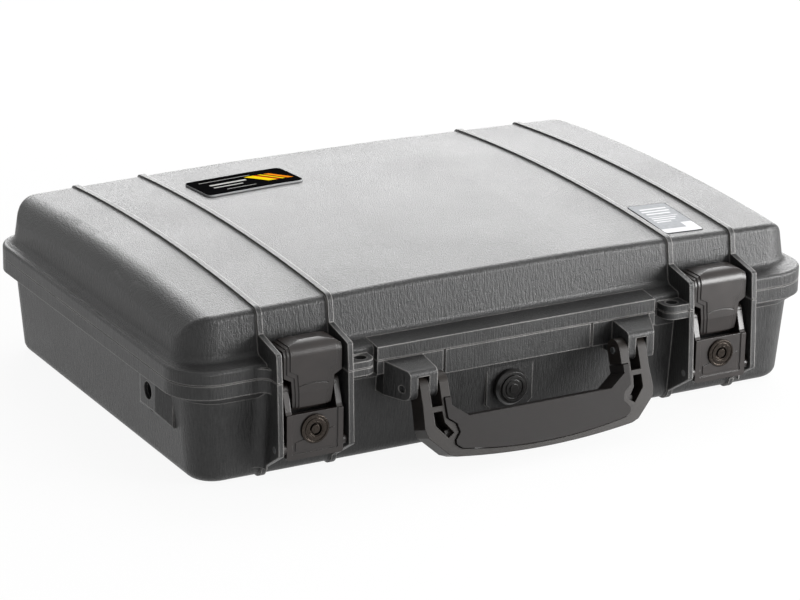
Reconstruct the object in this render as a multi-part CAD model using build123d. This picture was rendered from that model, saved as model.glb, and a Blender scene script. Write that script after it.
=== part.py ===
from build123d import *
import math
import os

# Laptop hard case: two moulded shells hinged at the rear, closed by two keyed draw latches, with a
# fold-down carrying handle, a pressure valve and foam linings. Millimetres. While the pieces are
# built, the middle of the rim is X 0, Y 0 and the ground is Z 0; +X right, +Y rear, +Z up.

# ---- overall sizes
rim_length = 505.0  # over the flanges, left to right
rim_width = 331.0  # over the flanges, front to rear, without the step between the guards
rim_corner = 30.0  # plan radius of the flanges
base_depth = 76.0  # ground to the parting plane
lid_height = 51.0  # parting plane to the middle of the crown
parting_gap = 0.4  # open line between the two flanges

# ---- base
wall = 4.0  # walls, floor and crown
base_side = 9.0  # flange beyond the walls, at the short sides
base_front = 3.8  # flange beyond the walls, at the front and rear
base_draft = 5.2  # degrees
base_corner = 26.0  # plan radius of the walls under the flange
base_round = 8.0  # between walls and floor
base_flange = 9.7  # upright height of the flange
flange_bevel = 4.8  # its underside rises outwards by this much
flange_tuck = 0.3  # its underside starts this far inside the walls

# ---- lid
lid_side = 8.0  # flange beyond the walls, at the short sides
lid_front = 13.5
lid_rear = 6.5
lid_draft = 8.0  # degrees
lid_corner = 25.0  # plan radius of the walls above the flange
lid_flange = 11.1  # height of the ledge that the latches hook over
edge_fall = 1.6  # the flange's outer edge below the ledge
foot_rise = 0.6  # the flange's top above the ledge where it meets the walls
edge_round = 2.5  # its upper outer edge
slope_over = 1.5  # its sloping top runs on inside the walls, this many times its own length
foot_round = 5.0  # hollow round between the flange and the walls
camber_rise = 5.3  # the crown falls by this much over the reach below
camber_reach = 140.0
camber_y = 6.0  # highest line of the crown
level_half = 68.0  # half length of the crown's level middle part
length_fall = 1.25  # degrees, its fall from there towards the short sides
side_round = 19.5  # large round between the crown and the side walls
side_round_turn = 66.0  # degrees of that round
crest_round = 5.0  # edge all round the crown
crown_sweep = 12.0  # degrees, how far the crown's outline is turned about its far axis

# ---- step in the middle of the front
front_step = 5.3  # both flanges stand further out there
step_half = 111.0  # half length of that step
deep_half = 106.0  # half length of its deep lower part
deep_step = 17.6  # height of the deep part
step_back = 6.0  # how far the step reaches back under the rim
panel_half = 59.0  # middle panel, set off by a groove at each end
panel_groove = 1.8
groove_cut = 1.2

# ---- seal between the shells
mouth_inset = 13.5  # rim edge to the shells' mouths
groove_inset = 6.5  # rim edge to the seal groove
groove_width = 4.6
groove_cover = 4.0  # flange left above the groove
tongue_width = 2.0
tongue_height = 3.0
seal_gap = 0.3  # tongue to seal, and seal to the groove's sides

# ---- ribs and guards
rib_proud = 1.6
rib_width = 4.0
rib_inner = 136.0  # centre line of each inner rib from the middle
rib_outer = 189.0  # centre line of each outer rib from the middle
guard_reach = 14.7  # guards beyond the rim at the parting plane
guard_lean = 2.3  # further reach of the guard's lower corner
guard_start = 26.0  # above the parting plane, where the guard leaves the lid's wall
guard_top = 20.0  # above the parting plane, at its outer corner
guard_drop = 51.0  # its lower corner below the parting plane
guard_round = 2.5
flank_round = 8.0  # hollow round between an outer guard and the front
flank_foot = 9.5  # lower end of that round above the ground

# ---- rear hinge
hinge_out = 7.0  # hinge axis behind the rim
hinge_pin_r = 2.5
knuckle_r = 6.5
cheek_r = 8.0
cheek_foot = 34.0  # lower end of the cheeks above the ground
running_gap = 0.05  # radial, a pin in a turning bore
seated_gap = 0.01  # radial, a pin in a fixed bore
side_gap = 0.8  # along an axis, between moving cheeks
notch_gap = 1.0  # lid's flange round the cheeks

# ---- latches, each centred between an inner and an outer rib
bay_cut = 4.5  # rim cut back between the guards
lever_side_gap = 2.75  # lever to each guard
latch_pin_r = 2.0
frame_rail = 4.4
frame_plate = 3.5
frame_boss_r = 4.0
arm_r = 5.5
crown_rise = 4.0  # the lever's top is this much higher in the middle
lever_skin = 3.0
lever_boss_r = 4.0
lever_step = 0.7  # each raised layer on the lever's face
lever_inset = 2.2  # and how far it is set in from the layer below
ledge_gap = 0.4  # hook above the ledge

# ---- locks
bezel_r = 10.3
bezel_proud = 1.2
barrel_r = 7.4
plug_r = 5.4
keyway_r = 4.6
post_r = 3.1
keyway_depth = 3.0
cam_reach = 16.2
cam_half = 4.0
cam_thick = 2.0
tail_r = 2.5

# ---- handle and its brackets
handle_pin_r = 2.5
handle_tilt = 20.0  # degrees, how far the hanging handle stands out
bracket_front = 7.0  # bracket beyond the handle's axis
bracket_drop = 8.0  # bracket below the handle's axis
bracket_ceiling = 9.0  # top of the slot above the axis
roof_fall = 3.2  # the bracket's roof drops from the parting plane to its front
web_inner = (76.0, 82.4)  # inner web, from the middle
web_outer = (91.0, 97.0)  # outer web, from the middle
web_flare = 9.0  # the outer web leans out by this much towards the rim
finger_width = 6.9
handle_r = 8.0  # round ends of the fingers, half the thickness of the handle
handle_drop = 55.5  # axis to the lowest line of the handle
grip_top = 24.6  # axis to the upper line of the grip
grip_line = 0.4  # open line round the soft grip
core_half = 4.5  # half thickness of the bar inside the grip
grip_proud = 1.4  # soft grip beyond the handle's faces

# ---- padlock ears
ear_x = 124.5
ear_out = 5.5  # hole's centre beyond the rim
ear_r = 8.5
ear_hole_r = 4.5
ear_thick = 5.0

# ---- pressure valve
valve_drop = 40.0  # its centre below the parting plane
valve_r = 13.0
valve_reach = 7.5
valve_bore_r = 8.0
valve_nut_thick = 6.0
valve_nut_r = 11.0
pad_half = 18.5
pad_below = 16.0  # the valve pad's foot below the valve's centre
pad_proud = 1.4  # valve pad beyond the front wall beside the valve
pad_bevel = 4.0  # its lower corners

# ---- strap eyes on the short sides
strap_y = -100.0
strap_drop = 21.5  # the hole's centre below the parting plane
strap_hole_r = 6.2
strap_half = 11.5
strap_out = 4.5  # eye beyond the wall's top
strap_ramp = 15.0  # length of the eye's slopes
strap_plate = 3.0
strap_slot = 4.3
strap_slot_half = 7.5

# ---- linings
foam_gap = 0.5
pocket_length = 384.0
pocket_width = 262.0
pocket_depth = 34.0
pocket_corner = 6.0
thumb_r = 17.0
lid_foam_lift = 2.0  # underside of the lid's foam above the ledge's height
foam_top_gap = 6.0  # base foam below the parting plane

# ---- badge plate and clear film on the lid
plate_x, plate_y, plate_turn = -82.3, 89.0, 1.5
plate_length, plate_width, plate_thick, plate_corner = 79.5, 41.0, 1.4, 5.0
film_x, film_y, film_turn = 156.8, -110.5, -2.0
film_length, film_width, film_thick, film_corner = 32.0, 56.0, 0.3, 3.0
sheet_gap = 0.04  # glue line under both

# ---- values worked out from the above
half_l, half_w = rim_length / 2, rim_width / 2
parting = base_depth
wall_top = parting - 4.0
flange_low = parting - base_flange
lid_under = parting + parting_gap
lid_ledge = lid_under + lid_flange
lid_top = base_depth + lid_height
lid_foam_low = lid_ledge + lid_foam_lift
flange_edge, flange_rise = lid_flange - edge_fall, lid_flange + foot_rise
groove_roof = lid_under + flange_edge - groove_cover
hinge_y, hinge_z = half_w + hinge_out, parting
latch_x = (rib_inner + rib_outer) / 2
bay_half = (rib_outer - rib_inner) / 2 - rib_width / 2
bay_front = -(half_w - bay_cut)
rim_front = -half_w
step_front = rim_front - front_step
guard_face = rim_front - guard_reach
guard_foot = parting - guard_drop
wall_foot = rim_front + lid_front
strap_z = parting - strap_drop
valve_z = parting - valve_drop
pad_foot = valve_z - pad_below

# ---- places that follow from the front and the guards
frame_pin_y, frame_pin_z = rim_front - 10.5, guard_foot + 3.0  # frame's hinge in the guards
lever_pin_y, lever_pin_z = rim_front - 2.5, parting - 9.0  # lever's pin in the frame's arms
frame_face = rim_front - 14.5
frame_foot = guard_foot - 5.0
frame_top = parting - 24.0  # upper edge of the lock plate
lock_z = frame_foot + 20.0
latch_width = 2 * (bay_half - lever_side_gap)
frame_half = latch_width / 2 - 0.55
lever_face = rim_front - 10.5
lever_tip = parting - 21.0
lever_shoulder = parting - 1.0
lever_crown = lid_ledge + 13.8
lever_waist = frame_half - frame_rail - 0.6  # half width below the shoulders
lever_toe = lever_waist - 2.2  # half width at the tip
hook_back = bay_front + 5.8
handle_pin_y, handle_pin_z = rim_front - 19.5, parting - 17.0
finger_inner = (web_inner[0] - side_gap - finger_width, web_inner[0] - side_gap)
finger_outer = (web_inner[1] + side_gap, web_inner[1] + side_gap + finger_width)


def tangent(degrees):
    """Sideways run of a slope for one unit of height."""
    return math.tan(math.radians(degrees))


def front_wall(z):
    """The base's front wall at height z, along Y."""
    return rim_front + base_front + (wall_top - z) * tangent(base_draft)


pad_out = front_wall(valve_z) - pad_proud
nut_face = front_wall(valve_z - valve_nut_r) + wall + 0.1
nut_back = nut_face + valve_nut_thick


def lying(length, width, radius, z):
    """A rounded rectangle lying at height z."""
    return Pos(0, 0, z) * RectangleRounded(length, width, radius)


def rim(inset, z):
    """The rim's outline at height z, set in from its edge."""
    return lying(rim_length - 2 * inset, rim_width - 2 * inset, rim_corner - inset, z)


def ring(outer_inset, inner_inset, low, high):
    """A band along the rim between two insets from its edge."""
    return extrude(rim(outer_inset, low), high - low) - extrude(rim(inner_inset, low), high - low)


def section(side, front, rear, radius, z):
    """A rounded rectangle at height z, set in from the rim by different amounts."""
    return Pos(0, (front - rear) / 2, 0) * lying(rim_length - 2 * side, rim_width - front - rear, radius, z)


def rod_x(x_from, x_to, y, z, radius):
    """A round bar along X."""
    bar = Cylinder(radius, x_to - x_from, align=(Align.CENTER, Align.CENTER, Align.MIN))
    return Pos(x_from, y, z) * Rot(0, 90, 0) * bar


def rod_y(x, y_from, y_to, z, radius):
    """A round bar along Y."""
    bar = Cylinder(radius, y_to - y_from, align=(Align.CENTER, Align.CENTER, Align.MIN))
    return Pos(x, y_from, z) * Rot(-90, 0, 0) * bar


def block(x_from, x_to, y_from, y_to, z_from, z_to):
    """A plain block between two corners."""
    middle = Pos((x_from + x_to) / 2, (y_from + y_to) / 2, (z_from + z_to) / 2)
    return middle * Box(x_to - x_from, y_to - y_from, z_to - z_from)


def outline(points, rounds=()):
    """A closed outline; rounds holds pairs of a point's number and its corner radius."""
    face = make_face(Polyline(*points, close=True))
    for number, radius in rounds:
        spot = Vector(*points[number])
        corner = min(face.vertices(), key=lambda v: (Vector(v.X, v.Y) - spot).length)
        face = fillet(corner, radius)
    return face


def side_plate(points, x_from, x_to, rounds=()):
    """An outline in Y and Z, extruded along X."""
    return extrude(Plane.YZ.offset(x_from) * outline(points, rounds), x_to - x_from)


def front_plate(points, y_front, y_back, rounds=()):
    """An outline in X and Z, extruded along Y."""
    return extrude(Plane.XZ.offset(-y_back) * outline(points, rounds), y_back - y_front)


def plan_plate(points, z_from, z_to, rounds=()):
    """An outline in X and Y, extruded upwards."""
    return extrude(Pos(0, 0, z_from) * outline(points, rounds), z_to - z_from)


def both_sides(solid):
    """A solid and its mirror image across the middle."""
    return [solid, mirror(solid, about=Plane.YZ)]


def joined(first, others):
    """One solid fused from several that touch."""
    for other in others:
        first = first + other
    return first


def without(first, others):
    """A solid with several others taken away."""
    for other in others:
        first = first - other
    return first


# ---------------------------------------------------------------- shells
def base_form(grow):
    """The base's drafted tub, grown outwards by the given amount; inner forms have a bevel at the floor."""
    side, front = base_side - grow, base_front - grow
    top = section(side, front, front, base_corner + grow, wall_top)
    tub = extrude(top, wall_top - rib_proud + grow, dir=(0, 0, -1), taper=base_draft)
    floor_edge = tub.edges().group_by(Axis.Z)[0]
    if grow < 0:
        return chamfer(floor_edge, base_round + grow)
    return fillet(floor_edge, base_round + grow)


def crown_block(grow):
    """Everything below the lid's cambered top: an outline in X and Z, turned about a far axis along X."""
    top = lid_top + grow
    radius = side_round + grow
    turn = math.radians(side_round_turn)
    wall_at_top = half_l - lid_side + grow - (top - lid_ledge) * tangent(lid_draft)
    start_x = wall_at_top + 1.0 - radius * math.sin(turn)
    start = (start_x, top - (start_x - level_half) * tangent(length_fall))
    middle = (start[0] + radius * math.sin(turn / 2), start[1] - radius * (1 - math.cos(turn / 2)))
    leave = (start[0] + radius * math.sin(turn), start[1] - radius * (1 - math.cos(turn)))
    far = (leave[0] + (leave[1] - lid_under + 20) / math.tan(turn), lid_under - 20)
    level = (level_half, top)
    right = Polyline(level, start) + ThreePointArc(start, middle, leave) + Polyline(leave, far)
    left = mirror(right, about=Plane.YZ)
    edge = right + left + Polyline(level, (-level[0], top)) + Polyline(far, (-far[0], far[1]))
    far_axis = Axis((0, camber_y, top - camber_reach**2 / (2 * camber_rise)), (1, 0, 0))
    face = Plane.XZ.offset(-camber_y) * make_face(edge)
    return revolve(face.rotate(far_axis, -crown_sweep / 2), far_axis, crown_sweep)


def lid_form(grow, rounded=False):
    """The lid's drafted walls and cambered crown, grown outwards by the given amount."""
    foot = section(lid_side - grow, lid_front - grow, lid_rear - grow, lid_corner + grow, lid_ledge)
    body = extrude(foot, lid_top - lid_ledge + 10, taper=lid_draft) & crown_block(grow)
    if rounded:
        body = fillet(crest_edges(body), crest_round + grow)
    return body


def lowest(shape):
    """Lowest height of a face or an edge."""
    return shape.bounding_box().min.Z


def crest_edges(body):
    """The closed loop of edges between a lid form's walls and its crown."""
    crown = [edge for face in body.faces() if lowest(face) > lid_ledge + 1 for edge in face.edges()]
    walls = [face for face in body.faces() if lowest(face) <= lid_ledge + 1]
    upper = [edge for face in walls for edge in face.edges() if lowest(edge) > lid_ledge + 5]
    return [edge for edge in upper if any((edge.center() - other.center()).length < 1e-3 for other in crown)]


def ribs(grown_form, low, high):
    """Slices of a grown shell form: the four hoops that run front to rear."""
    slices = []
    for x in (rib_inner, rib_outer):
        slab = block(x - rib_width / 2, x + rib_width / 2, -half_w, half_w, low, high)
        slices += both_sides(grown_form & slab)
    return slices


def guards(points, rounds):
    """The fins beside the latches, in line with the ribs."""
    fins = []
    for x in (rib_inner, rib_outer):
        fins += both_sides(side_plate(points, x - rib_width / 2, x + rib_width / 2, rounds))
    return fins


def base_guards():
    """Lower guards, with a foot that falls back to the floor's edge."""
    low = guard_face - guard_lean
    inside = rim_front + base_front + wall + 20
    toe = (rim_front + 14.5, 4.2)
    points = [(inside, parting), (guard_face, parting), (low, guard_foot), toe, (inside, rib_proud + 0.4)]
    return guards(points, [(2, guard_round)])


def lid_guards():
    """Upper guards, which slope out of the lid's wall."""
    inside = wall_foot + wall + 2
    corner = (guard_face + 1.6, parting + guard_top)
    leave = (wall_foot + 1, parting + guard_start)
    points = [(inside, lid_under), (guard_face, lid_under), corner, leave, (inside, parting + guard_start)]
    return guards(points, [(2, guard_round)])


def flank_outline(y, z):
    """Plan of the hollow round between an outer guard and a front at y."""
    x = rib_outer + rib_width / 2
    reach = flank_round * (1 - math.sqrt(0.5))
    edge = Polyline((x, y - flank_round), (x - 1, y - flank_round), (x - 1, y + 1), (x + flank_round, y + 1),
                    (x + flank_round, y))
    edge += ThreePointArc((x + flank_round, y), (x + reach, y - reach), (x, y - flank_round))
    return Pos(0, 0, z) * make_face(edge)


def flank(y_low, low, y_high, high):
    """Hollow rounds outside the outer guards, from a low place to a high one."""
    return both_sides(loft([flank_outline(y_low, low), flank_outline(y_high, high)], ruled=True))


def latch_bays(back, low, high):
    """The room between the guards, from in front of them back to the line given."""
    return both_sides(block(latch_x - bay_half, latch_x + bay_half, guard_face - 10, back, low, high))


def hinge_cheeks():
    """Rear fins of the base that hold the hinge pins."""
    inside = half_w - base_front - wall - 6
    points = [
        (inside, cheek_foot),
        (half_w - base_front - 5.5, cheek_foot),
        (hinge_y + cheek_r - 1, hinge_z - 14),
        (hinge_y + cheek_r, hinge_z),
        (inside, hinge_z),
    ]
    cheeks = []
    for x in (rib_inner, rib_outer):
        low, high = x - rib_width / 2, x + rib_width / 2
        cheek = side_plate(points, low, high, [(2, 6.0)]) + rod_x(low, high, hinge_y, hinge_z, cheek_r)
        cheeks += both_sides(cheek)
    return cheeks


def hinge_knuckles():
    """The lid's barrels between the cheeks, each on a web from the flange."""
    low, high = rib_inner + rib_width / 2 + side_gap, rib_outer - rib_width / 2 - side_gap
    points = [
        (half_w - groove_inset + 1, lid_under),
        (hinge_y, lid_under),
        (hinge_y + knuckle_r - 1.5, hinge_z + 2.5),
        (hinge_y - 2, lid_ledge - 1.5),
        (half_w - groove_inset + 1, lid_ledge - 1.5),
    ]
    knuckle = side_plate(points, low, high, [(3, 3.0)]) + rod_x(low, high, hinge_y, hinge_z, knuckle_r)
    return both_sides(knuckle)


def cheek_notches():
    """Room in the lid's flange for the base's cheeks."""
    notches = []
    for x in (rib_inner, rib_outer):
        half = rib_width / 2 + side_gap
        y = hinge_y - cheek_r - notch_gap
        notch = block(x - half, x + half, y, half_w + 1, parting, lid_ledge + 2)
        notches += both_sides(notch)
    return notches


def ears(low, high):
    """The padlock leaves beside the inner guards, over the height given."""
    front = rim_front - ear_out - ear_r
    points = [
        (ear_x - ear_r, bay_front + 2),
        (ear_x - ear_r, front),
        (rib_inner, front),
        (rib_inner, bay_front + 2),
    ]
    return both_sides(plan_plate(points, low, high, [(1, ear_r - 1)]))


def ear_holes():
    """The padlock holes through both leaves."""
    hole = Pos(ear_x, rim_front - ear_out, parting) * Cylinder(ear_hole_r, 3 * ear_thick)
    return both_sides(hole)


def ear_reliefs():
    """Room for a shackle under the lower leaves, cut into the base's flange."""
    inner = ear_x - ear_r - 2.5
    relief = block(inner, rib_inner, step_front - 1, bay_front, parting - deep_step, parting - ear_thick)
    return both_sides(relief)


def handle_brackets():
    """The hooded, forked brackets that carry the handle's pins."""
    back = rim_front + base_front + wall + 2
    front = handle_pin_y - bracket_front
    plan = [
        (web_inner[0] - 0.3, back),
        (web_inner[0], front),
        (web_outer[1], front),
        (web_outer[1] + web_flare, step_front),
        (web_outer[1] + web_flare, back),
    ]
    side = [
        (back, handle_pin_z - bracket_drop),
        (front, handle_pin_z - bracket_drop),
        (front, parting - roof_fall - 0.5),
        (step_front, parting - 0.3),
        (back, parting - 0.3),
    ]
    body = plan_plate(plan, 0, parting) & side_plate(side, 0, half_l, [(1, 6.0), (2, 4.0)])
    slot = plan_plate(
        [
            (web_inner[1], front - 1),
            (web_outer[0], front - 1),
            (web_outer[0], handle_pin_y + 4),
            (web_outer[0] + web_flare * 0.8, step_front + 1),
            (web_inner[1], step_front + 1),
        ],
        handle_pin_z - 20,
        handle_pin_z + bracket_ceiling,
    )
    reach = block(web_inner[1] - 1, half_l, front - 1, step_front, handle_pin_z - 20, parting)
    return both_sides(body - (slot & reach))


def handle_bores():
    """Seated bores for the handle's pins."""
    return both_sides(rod_x(60, deep_half + 5, handle_pin_y, handle_pin_z, handle_pin_r + seated_gap))


def strap_eye():
    """A strap eye swelling out of a short side: a plate with a hole, and a slot behind it open below."""
    wall_line = half_l - base_side
    outer = wall_line + strap_out
    low, high = strap_y - strap_half, strap_y + strap_half
    plan = [
        (wall_line - wall - 2, low - strap_ramp),
        (wall_line - 1.5, low - strap_ramp),
        (outer, low),
        (outer, high),
        (wall_line - 1.5, high + strap_ramp),
        (wall_line - wall - 2, high + strap_ramp),
    ]
    foot = strap_z - strap_half
    front = [
        (wall_line - wall - 2, wall_top),
        (outer, wall_top),
        (outer, foot),
        (wall_line - 2.5, foot - 8),
        (wall_line - wall - 2, foot - 8),
    ]
    body = plan_plate(plan, foot - 8, wall_top) & front_plate(front, low - strap_ramp, high + strap_ramp)
    slot_outer = outer - strap_plate
    slot_low, slot_high = strap_y - strap_slot_half, strap_y + strap_slot_half
    slot = block(slot_outer - strap_slot, slot_outer, slot_low, slot_high, foot - 9, strap_z + 8)
    hole = rod_x(slot_outer - 1, outer + 1, strap_y, strap_z, strap_hole_r)
    return both_sides(body), both_sides(slot + hole)


def shell_pin_bores(lid):
    """Bores for the hinge pins, loose in the lid and seated in the base."""
    radius = hinge_pin_r + (running_gap if lid else seated_gap)
    return both_sides(rod_x(rib_inner - 10, rib_outer + 10, hinge_y, hinge_z, radius))


def front_step_body(half, low, high):
    """Part of the step in the middle of the front."""
    return block(-half, half, step_front, rim_front + step_back, low, high)


def base_shell():
    """The lower shell with everything moulded into it."""
    tongue_inset = groove_inset + (groove_width - tongue_width) / 2
    pad = block(-pad_half, pad_half, pad_out, rim_front + base_front + wall + 14, pad_foot, flange_low)
    pad = chamfer(pad.edges().filter_by(Axis.Y).group_by(Axis.Z)[0], pad_bevel)
    eyes, eye_cuts = strap_eye()
    side, front = base_side + flange_tuck, base_front + flange_tuck
    underside = loft(
        [section(side, front, front, base_corner, flange_low - flange_bevel), rim(0, flange_low)], ruled=True)
    body = base_form(0) + underside + extrude(rim(0, flange_low), base_flange)
    body += ring(tongue_inset, tongue_inset + tongue_width, parting - 1, parting + tongue_height)
    body += front_step_body(step_half, flange_low, parting)
    body += front_step_body(deep_half, parting - deep_step, parting)
    body = joined(body, [pad] + eyes + handle_brackets() + ears(parting - ear_thick, parting))
    body = without(body, latch_bays(bay_front, flange_low - flange_bevel - 1, parting + 0.01) + ear_reliefs())
    body = joined(body, ribs(base_form(rib_proud), 0, flange_low + 3) + base_guards() + hinge_cheeks())
    body = joined(body, flank(front_wall(flank_foot), flank_foot, front_wall(flange_low), flange_low))
    body = joined(body, flank(rim_front, flange_low, rim_front, parting))
    mouth = extrude(rim(mouth_inset, wall_top - 0.01), parting - wall_top + 1)
    cuts = [base_form(-wall), mouth] + eye_cuts + shell_pin_bores(False) + handle_bores() + ear_holes()
    pin_bore = rod_x(rib_inner - 10, rib_outer + 10, frame_pin_y, frame_pin_z, latch_pin_r + seated_gap)
    cuts += both_sides(pin_bore)
    cuts.append(rod_y(0, pad_out - 1, nut_back, valve_z, valve_bore_r + seated_gap))
    low, high = panel_half - panel_groove / 2, panel_half + panel_groove / 2
    groove_foot, groove_back = parting - deep_step - 1, step_front + groove_cut
    cuts += both_sides(block(low, high, step_front - 1, groove_back, groove_foot, parting + 1))
    return without(body, cuts)


def slope_outline(share):
    """Outline on the flange's sloping top; share 0 is at its outer edge and 1 at the lid's walls."""
    start = edge_round + 0.5
    insets = [start + share * (inset - start) for inset in (lid_side, lid_front, lid_rear)]
    corner = rim_corner - start + share * (lid_corner - rim_corner + start)
    return section(*insets, corner, lid_under + flange_edge + share * (flange_rise - flange_edge))


def lid_flange_body():
    """The lid's flange with its upright edge and sloping top."""
    upright = extrude(rim(0, lid_under), flange_edge)
    upright = fillet(upright.edges().group_by(Axis.Z)[-1], edge_round)
    return upright + loft([slope_outline(-0.1), slope_outline(slope_over)], ruled=True)


def foot_edges(body):
    """The closed loop where the lid's walls stand on the flange."""
    height = lid_under + flange_rise
    boxes = [(edge, edge.bounding_box()) for edge in body.edges()]
    return [edge for edge, box in boxes if box.min.Z > height - 0.4 and box.max.Z < height + 0.4]


def lid_step():
    """The lid's part of the step in the middle of the front."""
    profile = [
        (wall_foot + 1, lid_under),
        (step_front, lid_under),
        (step_front, lid_under + flange_edge),
        (wall_foot, lid_under + flange_rise),
        (wall_foot + 1, lid_under + flange_rise),
    ]
    return side_plate(profile, -step_half, step_half)


def lid_shell():
    """The upper shell with its flange, hinge barrels and guards."""
    top = lid_under + flange_rise
    body = lid_form(0, True) + lid_flange_body()
    body = fillet(foot_edges(body), foot_round) + lid_step()
    body = without(body, latch_bays(bay_front, parting - 1, top + 1))
    ledge_back = wall_foot - 1.5
    body = without(body, latch_bays(ledge_back, lid_ledge, top + 1))
    body = joined(body, both_sides(
        block(latch_x - bay_half, latch_x + bay_half, bay_front, ledge_back, groove_roof, lid_ledge)))
    body = joined(body, ribs(lid_form(rib_proud, True), lid_ledge - 1, lid_top + 5) + lid_guards())
    body = joined(body, hinge_knuckles() + ears(lid_under, lid_under + ear_thick))
    body = joined(body, flank(rim_front, lid_under, rim_front, lid_under + flange_edge - edge_round))
    mouth = section(mouth_inset, lid_front + wall, mouth_inset, lid_corner - wall, lid_under - 1)
    groove = ring(groove_inset, groove_inset + groove_width, lid_under - 1, groove_roof)
    cuts = [lid_form(-wall), extrude(mouth, lid_flange + 1.01), groove]
    return without(body, cuts + shell_pin_bores(True) + ear_holes() + cheek_notches())


def lid_seal():
    """The soft seal in the lid's groove."""
    low = parting + tongue_height + seal_gap
    return ring(groove_inset + seal_gap, groove_inset + groove_width - seal_gap, low, groove_roof)


def hinge_pin():
    """Right steel hinge pin, flush with the outer faces of the cheeks."""
    return rod_x(rib_inner - rib_width / 2, rib_outer + rib_width / 2, hinge_y, hinge_z, hinge_pin_r)


# ---------------------------------------------------------------- latches
def latch_frame():
    """The hinged frame: a lock plate between two rails that rise into the lever's arms."""
    face_back = frame_face + frame_plate
    plate = front_plate(
        [
            (-frame_half, frame_foot),
            (frame_half, frame_foot),
            (frame_half, frame_top),
            (-frame_half, frame_top),
        ],
        frame_face,
        face_back,
        [(0, 2.0), (1, 2.0)],
    )
    recess = front_plate(
        [
            (-frame_half + 4.0, frame_foot + 4),
            (frame_half - 4.0, frame_foot + 4),
            (frame_half - 4.0, frame_top + 1),
            (-frame_half + 4.0, frame_top + 1),
        ],
        frame_face - 1,
        frame_face + 0.7,
    )
    raised = front_plate(
        [
            (-frame_half + 6.6, frame_foot + 6),
            (frame_half - 6.6, frame_foot + 6),
            (frame_half - 6.6, lock_z - 1),
            (-frame_half + 6.6, lock_z - 8),
        ],
        frame_face + 0.1,
        face_back - 1,
    )
    plate = plate - recess + raised
    rail_points = [
        (frame_face + 1.2, frame_foot + 2),
        (frame_face + 1.2, frame_top),
        (frame_face + 2.5, frame_top + 2),
        (lever_pin_y - arm_r, lever_pin_z),
        (lever_pin_y + arm_r, lever_pin_z),
        (lever_pin_y + 3.5, frame_top - 4),
        (frame_pin_y + 9, frame_pin_z + 8),
        (frame_pin_y + 3.5, frame_foot + 2),
    ]
    pieces = []
    for low in (frame_half - frame_rail, -frame_half):
        high = low + frame_rail
        rail = side_plate(rail_points, low, high)
        rail += rod_x(low, high, lever_pin_y, lever_pin_z, arm_r)
        boss_low = low if low > 0 else -bay_half + side_gap / 2
        boss_high = bay_half - side_gap / 2 if low > 0 else high
        pieces.append(rail + rod_x(boss_low, boss_high, frame_pin_y, frame_pin_z, frame_boss_r))
    body = joined(plate, pieces)
    open_half = frame_half - frame_rail
    hollow = block(-open_half, open_half, face_back, lever_pin_y + 20, frame_foot, lever_pin_z + 20)
    body = body - hollow
    bores = [
        rod_x(-30, 30, frame_pin_y, frame_pin_z, latch_pin_r + running_gap),
        rod_x(-30, 30, lever_pin_y, lever_pin_z, latch_pin_r + seated_gap),
        rod_y(0, frame_face - 5, frame_face + 10, lock_z, barrel_r + seated_gap),
    ]
    return without(body, bores)


def lever_layer(level):
    """One layer of the lever: a side profile and a front outline in common."""
    out = level * lever_step
    inset = level * lever_inset
    face = lever_face - out
    crown = lever_crown - (2 - level) * lever_step
    ledge = lid_ledge + ledge_gap
    profile = [
        (face + 1.5, lever_tip),
        (face, lever_tip + 11),
        (face, crown),
        (hook_back, crown - 1),
        (hook_back, ledge),
        (bay_front, ledge),
        (bay_front - 1.5, ledge - 2.0),
        (bay_front - 1.6, lever_shoulder + 5),
        (lever_pin_y + 3.5, lever_shoulder - 1),
        (lever_pin_y + 1, lever_tip + 4),
        (lever_pin_y + 1, lever_tip - 3.5),
        (lever_pin_y - 2.2, lever_tip - 3.5),
        (lever_pin_y - 2.2, lever_tip),
    ]
    half = latch_width / 2 - inset
    waist, toe = lever_waist - inset, lever_toe - inset
    shoulder = lever_shoulder + inset
    body = side_plate(profile, -half, half, [(2, 9.0), (3, 7.0), (4, 1.0)])
    top = crown - crown_rise * (half * 2 / latch_width) ** 2
    front = make_face(
        Polyline((half, top), (half, shoulder + 2.5), (waist, shoulder - 0.5), (toe, lever_tip - 5),
                 (-toe, lever_tip - 5), (-waist, shoulder - 0.5), (-half, shoulder + 2.5), (-half, top))
        + ThreePointArc((-half, top), (0, crown), (half, top))
    )
    mask = extrude(Plane.XZ.offset(150) * front, 40)
    return body & mask


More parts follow.
